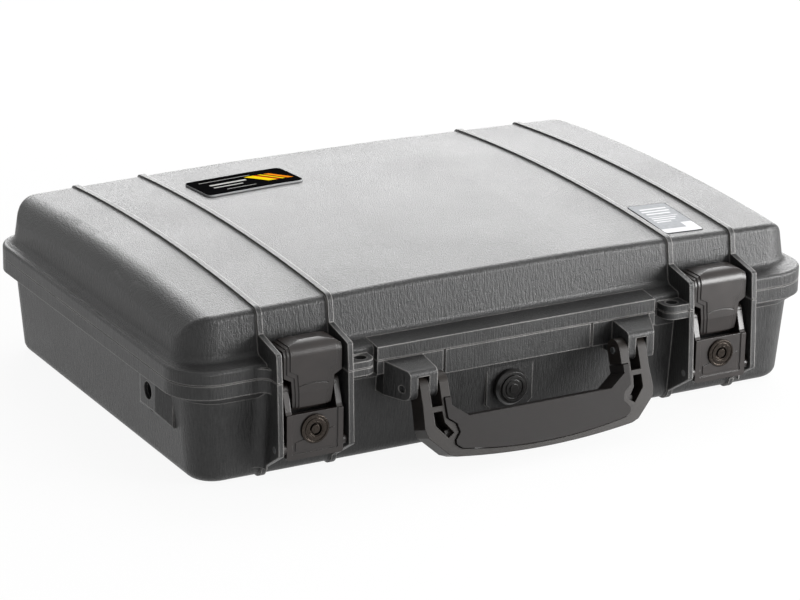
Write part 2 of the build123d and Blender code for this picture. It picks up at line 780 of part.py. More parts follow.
def lever():
    """The over-centre lever: three stepped layers, hollow behind, hooked over the lid's ledge."""
    body = lever_layer(0) + lever_layer(1) + lever_layer(2)
    inner_face = lever_face + lever_skin - 0.8
    hollow = side_plate(
        [
            (inner_face, lever_pin_z + 7),
            (inner_face, lever_crown - 7),
            (inner_face + 4, lever_crown - 4),
            (bay_front - 1, lever_crown - 4),
            (bay_front - 1, lid_ledge + 3),
            (bay_front + 1, lid_ledge - 4),
            (bay_front + 1, lever_pin_z + 7),
        ],
        -latch_width / 2 + 3.2,
        latch_width / 2 - 3.2,
    )
    stiffener = side_plate(
        [
            (inner_face - 1, lever_pin_z + 5),
            (inner_face - 1, lever_crown - 6),
            (bay_front - 2, lever_crown - 3),
            (bay_front - 2, lid_ledge + 2),
            (inner_face + 5, lever_pin_z + 5),
        ],
        -1.5,
        1.5,
    )
    cam_slot = block(-12.5, 12.5, lever_pin_y - 5.2, lever_pin_y - 1.8, lever_tip - 6, lever_tip + 7)
    smile = Pos(0, lever_face - 2 * lever_step, lever_shoulder - 42) * Rot(90, 0, 0) * (
        Cylinder(39.4, 1.0) - Cylinder(38.8, 1.0))
    smile = smile & block(-11, 11, lever_face - 5, lever_face + 5, lever_shoulder - 8, lever_shoulder + 4)
    boss = rod_x(-lever_waist + 0.3, lever_waist - 0.3, lever_pin_y, lever_pin_z, lever_boss_r)
    body = body - (hollow - stiffener) + boss - cam_slot - smile
    return body - rod_x(-30, 30, lever_pin_y, lever_pin_z, latch_pin_r + running_gap)


def lever_pin():
    """Pin through the frame's arms and the lever."""
    return rod_x(-frame_half, frame_half, lever_pin_y, lever_pin_z, latch_pin_r)


def frame_pin():
    """Pin through both guards and the frame's bosses."""
    reach = bay_half + rib_width
    return rod_x(-reach, reach, frame_pin_y, frame_pin_z, latch_pin_r)


def lock_body():
    """The lock's fixed barrel and bezel."""
    front = frame_face - bezel_proud
    back = frame_face + frame_plate + 3.3
    bezel = rod_y(0, front, frame_face, lock_z, bezel_r)
    bezel = chamfer(bezel.edges().group_by(Axis.Y)[0], 0.7)
    rim = rod_y(0, front - 1, front + 0.6, lock_z, bezel_r - 1.6)
    rim -= rod_y(0, front - 2, front + 1, lock_z, barrel_r + 0.2)
    body = bezel - rim + rod_y(0, frame_face - 0.01, back, lock_z, barrel_r)
    return body - rod_y(0, front - 1, back + 1, lock_z, plug_r + running_gap)


def lock_nut():
    """Hexagonal nut that clamps the lock behind its plate."""
    back = frame_face + frame_plate
    hexagon = extrude(Plane.XZ.offset(-back - 2.8) * (Pos(0, lock_z) * RegularPolygon(9.6, 6)), 2.8)
    return hexagon - rod_y(0, back - 5, back + 9, lock_z, barrel_r + seated_gap)


def lock_plug():
    """The turning plug, with a ring keyway round a centre post and a notch at the top."""
    front = frame_face - bezel_proud + 0.2
    back = frame_face + frame_plate + 3.7
    keyway = rod_y(0, front - 1, front + keyway_depth, lock_z, keyway_r)
    keyway -= rod_y(0, front - 2, front + keyway_depth + 1, lock_z, post_r)
    notch = block(-0.8, 0.8, front - 1, front + keyway_depth, lock_z + post_r, lock_z + plug_r - 0.1)
    body = rod_y(0, front, back, lock_z, plug_r) - keyway - notch
    return body + rod_y(0, back - 0.01, back + cam_thick + 0.4, lock_z, tail_r)


def lock_cam():
    """The cam behind the plug; it lies to the side when the lock is open."""
    front = frame_face + frame_plate + 3.9
    arm = front_plate(
        [
            (-cam_half - 1, lock_z - cam_half),
            (cam_reach, lock_z - cam_half),
            (cam_reach, lock_z + cam_half),
            (-cam_half - 1, lock_z + cam_half),
        ],
        front,
        front + cam_thick,
        [(0, 3.0), (3, 3.0)],
    )
    return arm - rod_y(0, front - 1, front + 5, lock_z, tail_r + seated_gap)


def cam_screw():
    """Screw head that holds the cam on the plug's tail."""
    seat = frame_face + frame_plate + 3.7 + cam_thick + 0.4
    head = rod_y(0, seat, seat + 1.6, lock_z, 4.2)
    return chamfer(head.edges().group_by(Axis.Y)[-1], 0.5)


# ---------------------------------------------------------------- handle
def handle_outline():
    """Right half of the handle's outer outline, from the top of the outer finger round to the middle."""
    return [
        (finger_outer[1], handle_r),
        (finger_outer[1], -14.0),
        (finger_outer[1] + 1.0, -29.5),
        (finger_outer[1] - 0.7, -35.5),
        (finger_outer[1] - 14.7, 6.5 - handle_drop),
        (finger_outer[1] - 20.2, 4.4 - handle_drop),
    ]


def handle_plate():
    """The handle's full outline as a plate, with its arms joined by the bowed lower edge."""
    right = handle_outline()
    left = [(-x, z) for x, z in reversed(right)]
    inner = [(-finger_inner[0], handle_r), (-finger_inner[0], -16.0), (-56.5, -grip_top)]
    inner += [(-x, z) for x, z in reversed(inner)]
    edge = Polyline(*right) + ThreePointArc(right[-1], (0, -handle_drop), left[0]) + Polyline(*left)
    edge += Polyline(left[-1], *inner, right[0])
    plate = extrude(Plane.XZ.offset(-handle_r) * make_face(edge), 2 * handle_r)
    return plate


def grip_region(inset, y_front, y_back):
    """The soft grip's outline: S-shaped ends and a bowed lower line, shrunk by inset."""
    right = [
        (finger_inner[1] - 1.5, -10.0),
        (73.3, -24.5),
        (67.2, -29.0),
        (65.6, -35.0),
        (69.8, -39.6),
        (69.8, -43.2),
        (65.4, -46.4),
    ]
    left = [(-x, z) for x, z in reversed(right)]
    edge = Polyline(*right) + ThreePointArc(right[-1], (0, 3.4 - handle_drop), left[0]) + Polyline(*left)
    inner = [(-finger_inner[0], -10.0), (-finger_inner[0], -16.0), (-56.5, -grip_top)]
    inner += [(-x, z) for x, z in reversed(inner)]
    edge += Polyline(left[-1], *inner, right[0])
    face = make_face(edge)
    corners = face.vertices().filter_by(lambda v: -46 < v.Y < -28)
    face = fillet(corners, 1.8)
    if inset:
        face = offset(face, -inset, kind=Kind.INTERSECTION)
    return extrude(Plane.XZ.offset(-y_back) * face, y_back - y_front)


def core_bar():
    """The bar inside the soft grip."""
    right = [(60, 7.5 - handle_drop), (75, -45.5), (75, -32.5), (60, -grip_top - 4.5)]
    left = [(-x, z) for x, z in reversed(right)]
    return front_plate(right + left, -core_half, core_half)


def handle_core():
    """The stiff frame of the handle: forked arms with pockets, the lower edge and the bar in the grip."""
    body = handle_plate()
    fork = front_plate(
        [
            (finger_inner[1], 20),
            (finger_outer[0], 20),
            (finger_outer[0], -15.3),
            (finger_inner[1], -15.3),
        ],
        -20,
        20,
    )
    pocket = front_plate(
        [(76.2, -19), (82.8, -19), (82.8, -28), (74.4, -37.6), (69.6, -34.6), (75.4, -27.0)],
        -20,
        4.5,
        [(2, 2.0), (5, 2.0)],
    )
    body = without(body, both_sides(fork) + both_sides(pocket))
    ends = side_plate(
        [(-handle_r, -80), (-handle_r, handle_r), (handle_r, handle_r), (handle_r, -80)],
        -120,
        120,
        [(1, handle_r - 0.01), (2, handle_r - 0.01)],
    )
    body = body & ends
    body = body - grip_region(0, -20, 20) + core_bar()
    return body - rod_x(-120, 120, 0, 0, handle_pin_r + running_gap)


def handle_grip():
    """The soft grip moulded round the core bar."""
    reach = handle_r + grip_proud
    body = grip_region(grip_line, -reach, reach)
    return body - core_bar()


def hang(solid):
    """Put a piece of the handle, built about its axis, at its rest place."""
    return Pos(0, handle_pin_y, handle_pin_z) * Rot(-handle_tilt, 0, 0) * solid


def handle_pin():
    """Right pin through both webs of a bracket and both fingers."""
    return rod_x(finger_inner[0] - 1.0, web_outer[1] + 1.5, handle_pin_y, handle_pin_z, handle_pin_r)


# ---------------------------------------------------------------- valve
def valve_body():
    """Threaded barrel of the pressure valve with its outer collar."""
    front = pad_out - valve_reach
    barrel = rod_y(0, pad_out - 1, nut_back + 1, valve_z, valve_bore_r)
    collar = rod_y(0, front + 2.5, pad_out - 0.6, valve_z, valve_r)
    collar = chamfer(collar.edges().group_by(Axis.Y)[0], 1.6)
    dish = rod_y(0, front + 1, front + 4, valve_z, valve_r - 3.4)
    vent = rod_y(0, front - 1, nut_back + 2, valve_z, 2.0)
    return barrel + collar - dish - vent


def valve_cap():
    """Round cap with concentric steps over the valve's membrane."""
    seat = pad_out - valve_reach + 4
    cap = rod_y(0, seat - 2.6, seat, valve_z, valve_r - 3.7)
    band = rod_y(0, seat - 3, seat - 1.9, valve_z, 7.4)
    cap -= band - rod_y(0, seat - 4, seat, valve_z, 6.0)
    return cap + rod_y(0, seat - 3.4, seat - 2, valve_z, 3.2)


def valve_seal():
    """Flat ring between the collar and the pad."""
    bore = rod_y(0, pad_out - 1, pad_out + 1, valve_z, valve_bore_r + seated_gap)
    return rod_y(0, pad_out - 0.6, pad_out, valve_z, valve_r - 1.5) - bore


def valve_nut():
    """Hexagonal nut inside the base's front wall."""
    hexagon = Pos(0, valve_z) * RegularPolygon(valve_nut_r, 6)
    nut = extrude(Plane.XZ.offset(-nut_back) * hexagon, valve_nut_thick)
    return nut - rod_y(0, nut_face - 3, nut_back + 3, valve_z, valve_bore_r + seated_gap)


# ---------------------------------------------------------------- linings, plate and film
def valve_relief():
    """Room in the linings for the valve's nut."""
    return rod_y(0, rim_front, nut_back + 4, valve_z, valve_nut_r + 3)


def base_pad():
    """Foam layer under the laptop."""
    top = parting - foam_top_gap - pocket_depth
    return (base_form(-wall - foam_gap) & block(-300, 300, -200, 200, 0, top)) - valve_relief()


def base_foam():
    """Foam frame round the laptop's pocket, with a thumb scoop at each end."""
    low, high = parting - foam_top_gap - pocket_depth + 0.2, parting - foam_top_gap
    body = base_form(-wall - foam_gap) & block(-300, 300, -200, 200, low, high)
    pocket = extrude(lying(pocket_length, pocket_width, pocket_corner, low - 1), high - low + 2)
    scoop = Pos(pocket_length / 2, 0, (low + high) / 2) * Cylinder(thumb_r, high - low + 2)
    return without(body, [pocket, valve_relief()] + both_sides(scoop))


def lid_foam():
    """Foam lining of the lid."""
    return lid_form(-wall - foam_gap) & block(-300, 300, -200, 200, lid_foam_low, lid_top)


def on_crown(outline, x, y, turn, thick):
    """A thin sheet of the given outline, laid on the lid's cambered crown."""
    column = extrude(Pos(x, y, lid_top - 15) * Rot(0, 0, turn) * outline, 30)
    return column & (crown_block(thick) - crown_block(sheet_gap))


def badge_plate():
    """Blank plate on the lid."""
    blank = RectangleRounded(plate_length, plate_width, plate_corner)
    return on_crown(blank, plate_x, plate_y, plate_turn, plate_thick)


def film():
    """Blank film on the lid."""
    blank = RectangleRounded(film_length, film_width, film_corner)
    return on_crown(blank, film_x, film_y, film_turn, film_thick)


def build():
    """Every piece by name, still about the middle of the rim."""
    pieces = {
        "base_shell": base_shell(),
        "lid_shell": lid_shell(),
        "lid_seal": lid_seal(),
        "handle_core": hang(handle_core()),
        "handle_grip": hang(handle_grip()),
        "valve_body": valve_body(),
        "valve_cap": valve_cap(),
        "valve_seal": valve_seal(),
        "valve_nut": valve_nut(),
        "base_pad": base_pad(),
        "base_foam": base_foam(),
        "lid_foam": lid_foam(),
        "badge_plate": badge_plate(),
        "lid_film": film(),
    }
    latch = {
        "latch_frame": latch_frame(),
        "latch_lever": lever(),
        "lever_pin": lever_pin(),
        "frame_pin": frame_pin(),
        "lock_body": lock_body(),
        "lock_nut": lock_nut(),
        "lock_plug": lock_plug(),
        "lock_cam": lock_cam(),
        "cam_screw": cam_screw(),
    }
    for side, x in (("left", -latch_x), ("right", latch_x)):
        for name, solid in latch.items():
            pieces[side + "_" + name] = Pos(x, 0, 0) * solid
    for name, solid in (("hinge_pin", hinge_pin()), ("handle_pin", handle_pin())):
        pieces["left_" + name], pieces["right_" + name] = mirror(solid, about=Plane.YZ), solid
    return pieces


pieces = build()
boxes = [piece.bounding_box() for piece in pieces.values()]
front, rear = min(box.min.Y for box in boxes), max(box.max.Y for box in boxes)
centre_shift = -(front + rear) / 2  # brings the origin under the middle of the whole case
os.makedirs("parts", exist_ok=True)
for name, piece in pieces.items():
    export_step(Pos(0, centre_shift, 0) * piece, "parts/" + name + ".step")
print("pieces", len(pieces), "shift", round(centre_shift, 3))
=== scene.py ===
import bpy, math
from mathutils import Matrix, Vector


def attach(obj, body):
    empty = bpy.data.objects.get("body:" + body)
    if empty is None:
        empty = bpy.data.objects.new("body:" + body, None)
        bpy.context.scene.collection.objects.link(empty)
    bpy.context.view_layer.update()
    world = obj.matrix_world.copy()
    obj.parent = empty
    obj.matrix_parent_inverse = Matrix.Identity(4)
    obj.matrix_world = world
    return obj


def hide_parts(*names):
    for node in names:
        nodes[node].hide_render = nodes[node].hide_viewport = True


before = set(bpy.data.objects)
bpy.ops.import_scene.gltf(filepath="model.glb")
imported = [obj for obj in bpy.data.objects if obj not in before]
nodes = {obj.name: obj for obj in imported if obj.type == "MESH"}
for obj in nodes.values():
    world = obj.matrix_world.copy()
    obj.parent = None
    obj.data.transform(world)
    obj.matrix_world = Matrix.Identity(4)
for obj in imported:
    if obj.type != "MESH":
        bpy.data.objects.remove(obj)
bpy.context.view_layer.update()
print("frame loaded:", len(nodes), "nodes")


# camera
camera = {
    "place": (-1.1141, -1.9815, 0.8529),
    "heading": 29.287,  # degrees from +Y towards +X
    "down": 18.99,
    "roll": 0.94,
    "lens": 148.87,     # mm, on a sensor this wide
    "sensor": 36,
    "shift": (-0.00775, -0.028),
    "reach": 20,        # metres
}


def addCamera(c):
    data = bpy.data.cameras.new("camera")
    data.lens = c["lens"]
    data.sensor_width = c["sensor"]
    data.shift_x, data.shift_y = c["shift"]
    data.clip_end = c["reach"]
    obj = bpy.data.objects.new("camera", data)
    bpy.context.collection.objects.link(obj)
    turn = Matrix.Rotation(math.radians(-c["heading"]), 4, "Z")
    turn = turn @ Matrix.Rotation(math.radians(90 - c["down"]), 4, "X")
    turn = turn @ Matrix.Rotation(math.radians(c["roll"]), 4, "Z")
    obj.matrix_world = Matrix.Translation(c["place"]) @ turn
    bpy.context.scene.camera = obj


addCamera(camera)
print("camera placed")


# material helpers
def hexColour(text):
    # an sRGB hex value as Blender's linear colour
    parts = [int(text[i:i + 2], 16) / 255 for i in (1, 3, 5)]
    return (*[p / 12.92 if p <= 0.04045 else ((p + 0.055) / 1.055) ** 2.4 for p in parts], 1.0)


def setSockets(tree, node, values):
    # each socket by name or number takes a value or another node's output
    for name, value in values.items():
        if isinstance(value, bpy.types.NodeSocket):
            tree.links.new(value, node.inputs[name])
        else:
            node.inputs[name].default_value = value


def addNode(tree, kind, inputs={}, stops=(), **settings):
    # one node with its settings and links, and a ramp's colours as (place, hex value); returns its outputs
    node = tree.nodes.new(kind)
    for name, value in settings.items():
        setattr(node, name, value)
    setSockets(tree, node, inputs)
    for i, (position, colour) in enumerate(stops):
        elements = node.color_ramp.elements
        element = elements[i] if i < len(elements) else elements.new(1.0)
        element.position, element.color = position, hexColour(colour)
    return node.outputs


def newMaterial(name):
    material = bpy.data.materials.new(name)
    material.use_nodes = True
    return material, material.node_tree, material.node_tree.nodes["Principled BSDF"]


noiseMiddle = {"From Min": 0.3, "From Max": 0.7}  # where nearly all of a noise's values lie
edgeRays = 6       # rays that look for an edge near each point
softDetail = 2.0   # octaves of a noise without fine crumbs


def toRange(pair):
    return {"To Min": pair[0], "To Max": pair[1]}


def tones(c):
    # a ramp's stops, from a finish's dark to its light
    return zip(c["toneRange"], (c["dark"], c["light"]))


def spacedNoise(tree, spacing, detail=3.0, roughness=0.6, distortion=0.0):
    # noise in the object's own space whose lumps lie about this far apart, in metres along x, y and z
    place = addNode(tree, "ShaderNodeTexCoord")["Object"]
    scaled = addNode(tree, "ShaderNodeMapping", {"Vector": place, "Scale": [1 / s for s in spacing]})
    return addNode(tree, "ShaderNodeTexNoise", {
        "Vector": scaled["Vector"], "Scale": 1.0, "Detail": detail, "Roughness": roughness, "Distortion": distortion,
    })["Fac"]


def edgeMask(tree, radius, full, none):
    # 1 along edges: where the normal rounded by this radius turns away from the flat one
    soft = addNode(tree, "ShaderNodeBevel", {"Radius": radius}, samples=edgeRays)["Normal"]
    flat = addNode(tree, "ShaderNodeNewGeometry")["Normal"]
    same = addNode(tree, "ShaderNodeVectorMath", {0: soft, 1: flat}, operation="DOT_PRODUCT")["Value"]
    return addNode(tree, "ShaderNodeMapRange",
                   {"Value": same, "From Min": full, "From Max": none, **toRange((1.0, 0.0))})["Result"]


def roundedEdges(tree, edge, height, strength, depth):
    # a normal for edges shaded as if rounded by this radius, with a fine relief over them
    soft = addNode(tree, "ShaderNodeBevel", {"Radius": edge}, samples=edgeRays)["Normal"]
    return addNode(tree, "ShaderNodeBump",
                   {"Height": height, "Normal": soft, "Strength": strength, "Distance": depth})["Normal"]


shellResin = {
    "dark": "#161616", "light": "#323232",
    "toneRange": (0.36, 0.64),
    "streak": (0.0011, 0.0011, 0.009),  # flow marks run up the walls, about 1 mm apart
    "grain": 0.0016,      # mould texture of 1 mm, drawn coarser to show
    "twist": 1.2,
    "cloud": 0.07,
    "grainShare": 0.35, "cloudShare": 0.35,
    "roughness": (0.30, 0.50),
    "ior": 1.49,
    "gloss": 0.39,        # mould texture scatters some of the reflection
    "edge": 0.0008,
    "relief": 0.0007, "reliefStrength": 0.9,
    "edgeHighlight": "#868482",    # painted highlight: edges are drawn paler, as if lit
    "edgeHighlightWidth": 0.0014,
    "edgeHighlightTurn": (0.97, 0.995),  # cosines between which the painted edge highlight fades out
    "edgeHighlightShare": (0.35, 1.0),   # the painted edge highlight is uneven from place to place
}


def mouldedPolypropylene(c):
    # filled polypropylene, injection moulded: charcoal with a satin sheen, streaky up the walls, speckled on top, with
    # a painted highlight along the edges
    material, tree, shader = newMaterial("mouldedPolypropylene")
    streaks = spacedNoise(tree, c["streak"])
    grain = spacedNoise(tree, (c["grain"],) * 3, softDetail, distortion=c["twist"])
    clouds = spacedNoise(tree, (c["cloud"],) * 3)
    marks = addNode(tree, "ShaderNodeMix", {"Factor": c["grainShare"], "A": streaks, "B": grain})[0]
    tone = addNode(tree, "ShaderNodeMix", {"Factor": c["cloudShare"], "A": marks, "B": clouds})[0]
    colour = addNode(tree, "ShaderNodeValToRGB", {"Fac": tone}, tones(c))["Color"]
    # painted highlight: a pale colour laid along the edges, stronger in some patches than in others
    patchy = addNode(tree, "ShaderNodeMapRange", {"Value": clouds, **noiseMiddle, **toRange(c["edgeHighlightShare"])})["Result"]
    edgeHighlight = addNode(tree, "ShaderNodeMath", {0: edgeMask(tree, c["edgeHighlightWidth"], *c["edgeHighlightTurn"]), 1: patchy},
                   operation="MULTIPLY")[0]
    setSockets(tree, shader, {
        "Base Color": addNode(tree, "ShaderNodeMix", {0: edgeHighlight, 6: colour, 7: hexColour(c["edgeHighlight"])},
                              data_type="RGBA")[2],
        "Roughness": addNode(tree, "ShaderNodeMapRange",
                             {"Value": tone, **noiseMiddle, **toRange(c["roughness"])})["Result"],
        "Normal": roundedEdges(tree, c["edge"], marks, c["reliefStrength"], c["relief"]),
        "IOR": c["ior"],
        "Specular IOR Level": c["gloss"],
    })
    return material


mouldings = {
    # grain, relief and edge radius in metres
    "mouldedAbs": {  # polished tool: brown-black with a broad soft highlight
        "dark": "#15100e", "light": "#1e1714", "roughness": (0.27, 0.36), "grain": 0.0008, "relief": 0.00003,
        "edge": 0.0006, "ior": 1.54, "gloss": 0.50},
    "mouldedNylon": {  # glass-filled, matt tool: brown-grey, little shine
        "dark": "#1c1917", "light": "#26221f", "roughness": (0.38, 0.48), "grain": 0.0007, "relief": 0.00006,
        "edge": 0.0006, "ior": 1.50, "gloss": 0.20},
    "overmouldedRubber": {  # thermoplastic rubber: dull and a touch darker
        "dark": "#181615", "light": "#211e1d", "roughness": (0.55, 0.66), "grain": 0.0006, "relief": 0.00010,
        "edge": 0.0005, "ior": 1.50, "gloss": 0.20},
    "turnedNylon": {  # smooth: near black with a small highlight
        "dark": "#1a1919", "light": "#242322", "roughness": (0.26, 0.36), "grain": 0.0006, "relief": 0.00004,
        "edge": 0.0004, "ior": 1.53, "gloss": 0.40},
    "epdmRubber": {  # extruded seal: black and dull
        "dark": "#121212", "light": "#1c1c1c", "roughness": (0.55, 0.70), "grain": 0.0005, "relief": 0.00006,
        "edge": 0.0003, "ior": 1.50, "gloss": 0.40},
}
mouldingMix = {"cloud": 0.02, "cloudShare": 0.6, "toneRange": (0.35, 0.65), "reliefStrength": 0.5}


def smallMoulding(name, c, m):
    # nearly even colour, rounded edges and a fine grain that breaks up the highlights
    material, tree, shader = newMaterial(name)
    fine = spacedNoise(tree, (c["grain"],) * 3)
    clouds = spacedNoise(tree, (m["cloud"],) * 3)
    tone = addNode(tree, "ShaderNodeMix", {"Factor": m["cloudShare"], "A": fine, "B": clouds})[0]
    setSockets(tree, shader, {
        "Base Color": addNode(tree, "ShaderNodeValToRGB", {"Fac": tone}, tones({**m, **c}))["Color"],
        "Roughness": addNode(tree, "ShaderNodeMapRange",
                             {"Value": tone, **noiseMiddle, **toRange(c["roughness"])})["Result"],
        "Normal": roundedEdges(tree, c["edge"], fine, m["reliefStrength"], c["relief"]),
        "IOR": c["ior"],
        "Specular IOR Level": c["gloss"],
    })
    return material


metals = {
    "blackNickelZinc": {  # plated die casting: dark, brownish mirror
        "dark": "#2b2724", "light": "#47413c", "roughness": (0.16, 0.26)},
    "zincPlatedSteel": {  # plated pins: pale grey, half matt
        "dark": "#7b7d7f", "light": "#939596", "roughness": (0.30, 0.42)},
}
plating = {"grain": 0.0012, "detail": 4.0, "toneRange": (0.3, 0.7), "edge": 0.0004, "relief": 0.00002,
           "reliefStrength": 0.3}


def platedMetal(name, c, m):
    # slightly uneven plating and rounded edges
    material, tree, shader = newMaterial(name)
    uneven = spacedNoise(tree, (m["grain"],) * 3, m["detail"])
    setSockets(tree, shader, {
        "Base Color": addNode(tree, "ShaderNodeValToRGB", {"Fac": uneven}, tones({**m, **c}))["Color"],
        "Roughness": addNode(tree, "ShaderNodeMapRange",
                             {"Value": uneven, **noiseMiddle, **toRange(c["roughness"])})["Result"],
        "Normal": roundedEdges(tree, m["edge"], uneven, m["reliefStrength"], m["relief"]),
        "Metallic": 1.0,
    })
    return material


liningFoam = {
    "dark": "#1b1c1e", "light": "#3a3c40",
    "toneRange": (0.15, 0.7),
    "cell": 0.0016,   # open cells, drawn twice as coarse to show
    "cloud": 0.012, "cloudShare": 0.35,
    "roughness": (0.88, 1.0),
    "relief": 0.0007, "reliefStrength": 0.6,
    "sheen": 0.15,
}


def openCellPolyurethane(c):
    # polyurethane foam cut from a block: matt charcoal, pitted all over, no highlight
    material, tree, shader = newMaterial("openCellPolyurethane")
    place = addNode(tree, "ShaderNodeTexCoord")["Object"]
    cells = addNode(tree, "ShaderNodeTexVoronoi", {"Vector": place, "Scale": 1 / c["cell"]})["Distance"]
    clouds = spacedNoise(tree, (c["cloud"],) * 3)
    tone = addNode(tree, "ShaderNodeMix", {"Factor": c["cloudShare"], "A": cells, "B": clouds})[0]
    setSockets(tree, shader, {
        "Base Color": addNode(tree, "ShaderNodeValToRGB", {"Fac": tone}, tones(c))["Color"],
        "Roughness": addNode(tree, "ShaderNodeMapRange",
                             {"Value": cells, **noiseMiddle, **toRange(c["roughness"])})["Result"],
        "Normal": addNode(tree, "ShaderNodeBump", {"Height": cells, "Strength": c["reliefStrength"],
                                                   "Distance": c["relief"]})["Normal"],
        "Sheen Weight": c["sheen"],
    })
    return material


# the plate and the film, both printed flat: art is drawn in millimetres from their middles
millimetre = 0.001


def flatPlace(tree, centre, turn):
    place = addNode(tree, "ShaderNodeTexCoord")["Object"]
    return addNode(tree, "ShaderNodeMapping",
                   {"Vector": place, "Location": (*centre, 0.0), "Rotation": (0.0, 0.0, math.radians(turn)),
                    "Scale": (millimetre,) * 3}, vector_type="TEXTURE")["Vector"]


def bar(tree, parts, middle, half):
    # 1 inside an upright rectangle
    inside = [addNode(tree, "ShaderNodeMath", {0: part, 1: m, 2: h}, operation="COMPARE")[0]
              for part, m, h in zip(parts, middle, half)]
    return addNode(tree, "ShaderNodeMath", {0: inside[0], 1: inside[1]}, operation="MULTIPLY")[0]


def rimMask(tree, local, half, corner, width):
    # 1 within this width of a rounded rectangle's edge, and outside it
    away = addNode(tree, "ShaderNodeVectorMath", {0: local}, operation="ABSOLUTE")[0]
    straight = (half[0] - corner, half[1] - corner, 1000.0)  # a height above any there is, so that it doesn't count
    past = addNode(tree, "ShaderNodeVectorMath", {0: away, 1: straight}, operation="SUBTRACT")[0]
    past = addNode(tree, "ShaderNodeVectorMath", {0: past, 1: (0.0, 0.0, 0.0)}, operation="MAXIMUM")[0]
    reach = addNode(tree, "ShaderNodeVectorMath", {0: past}, operation="LENGTH")["Value"]
    return addNode(tree, "ShaderNodeMath", {0: reach, 1: corner - width}, operation="GREATER_THAN")[0]


namePlate = {
    "centre": (-0.0823, 0.104508), "turn": 1.5,
    "half": (39.75, 20.5), "corner": 5.0, "rimWidth": 0.25,
    "ground": "#0d0d0e", "line": "#c9c9c6", "rim": "#a9aaab",
    "stripes": [(0.0, "#0d0d0e"), (0.600, "#f3d21b"), (0.672, "#c8281e"), (0.696, "#0d0d0e"), (0.712, "#f3d21b"),
                (0.742, "#0d0d0e"), (0.758, "#ee8a1c"), (0.806, "#0d0d0e")],
    "span": 100.0,        # mm that the stripes' places are shares of
    "stripeHalf": 9.0,    # half their height
    "slant": 32.0,        # degrees
    "rules": [((-10.0, 12.2), (21.0, 0.35)), ((-8.0, -12.0), (12.0, 0.35)), ((-12.0, 2.6), (15.0, 1.5)),
              ((-15.0, -4.2), (12.0, 0.9))],
    "peel": 0.002, "roughness": (0.16, 0.24), "edge": 0.0005, "relief": 0.00002, "reliefStrength": 0.2,
    "ior": 1.58,
    "gloss": 0.0,         # matt laminate over the print
}


def printedPolycarbonate(c):
    # polycarbonate label printed from behind, under a matt laminate: deep black with coloured bands
    material, tree, shader = newMaterial("printedPolycarbonate")
    local = flatPlace(tree, c["centre"], c["turn"])
    u, v, _ = addNode(tree, "ShaderNodeSeparateXYZ", {"Vector": local})
    lean = addNode(tree, "ShaderNodeMath", {0: v, 1: math.tan(math.radians(c["slant"])), 2: u},
                   operation="MULTIPLY_ADD")[0]
    share = addNode(tree, "ShaderNodeMath", {0: lean, 1: 1 / c["span"], 2: 0.5}, operation="MULTIPLY_ADD")[0]
    colour = addNode(tree, "ShaderNodeValToRGB", {"Fac": share}, c["stripes"])["Color"]
    colour.node.color_ramp.interpolation = "CONSTANT"
    height = addNode(tree, "ShaderNodeMath", {0: v}, operation="ABSOLUTE")[0]
    beyond = addNode(tree, "ShaderNodeMath", {0: height, 1: c["stripeHalf"]}, operation="GREATER_THAN")[0]
    layers = [(beyond, c["ground"])] + [(bar(tree, (u, v), *rule), c["line"]) for rule in c["rules"]]
    layers.append((rimMask(tree, local, c["half"], c["corner"], c["rimWidth"]), c["rim"]))
    for mask, paint in layers:  # plain colours laid one over another
        colour = addNode(tree, "ShaderNodeMix", {0: mask, 6: colour, 7: hexColour(paint)}, data_type="RGBA")[2]
    peel = spacedNoise(tree, (c["peel"],) * 3, softDetail)
    setSockets(tree, shader, {
        "Base Color": colour,
        "Roughness": addNode(tree, "ShaderNodeMapRange",
                             {"Value": peel, **noiseMiddle, **toRange(c["roughness"])})["Result"],
        "Normal": roundedEdges(tree, c["edge"], peel, c["reliefStrength"], c["relief"]),
        "IOR": c["ior"],
        "Specular IOR Level": c["gloss"],
    })
    return material


lidSticker = {
    "centre": (0.1568, -0.094992), "turn": -2.0,
    "half": (16.0, 28.0), "corner": 3.0, "rimWidth": 0.45,
    # painted shadow: the dark line drawn round the film's edge
    "dark": "#a9abae", "light": "#b6b8bb", "white": "#e4e4e6", "cut": "#2a2b2c",
    "toneRange": (0.35, 0.7),
    "bars": [((0.0, -24.0), (16.0, 4.0)), ((11.0, -15.5), (5.0, 4.5)), ((0.5, 18.5), (11.0, 1.3)),
             ((0.0, 13.6), (11.5, 1.2)), ((-0.5, 8.8), (10.0, 1.2)), ((0.5, 3.6), (12.0, 0.5)),
             ((-1.0, 0.2), (10.0, 0.9)), ((-2.5, -3.4), (9.0, 0.9)), ((-5.0, -7.0), (6.0, 0.9))],
    "ripple": 0.004, "roughness": (0.30, 0.42), "edge": 0.0002, "relief": 0.00003, "reliefStrength": 0.2,
    "ior": 1.5,
    "gloss": 0.0,         # matt face
}


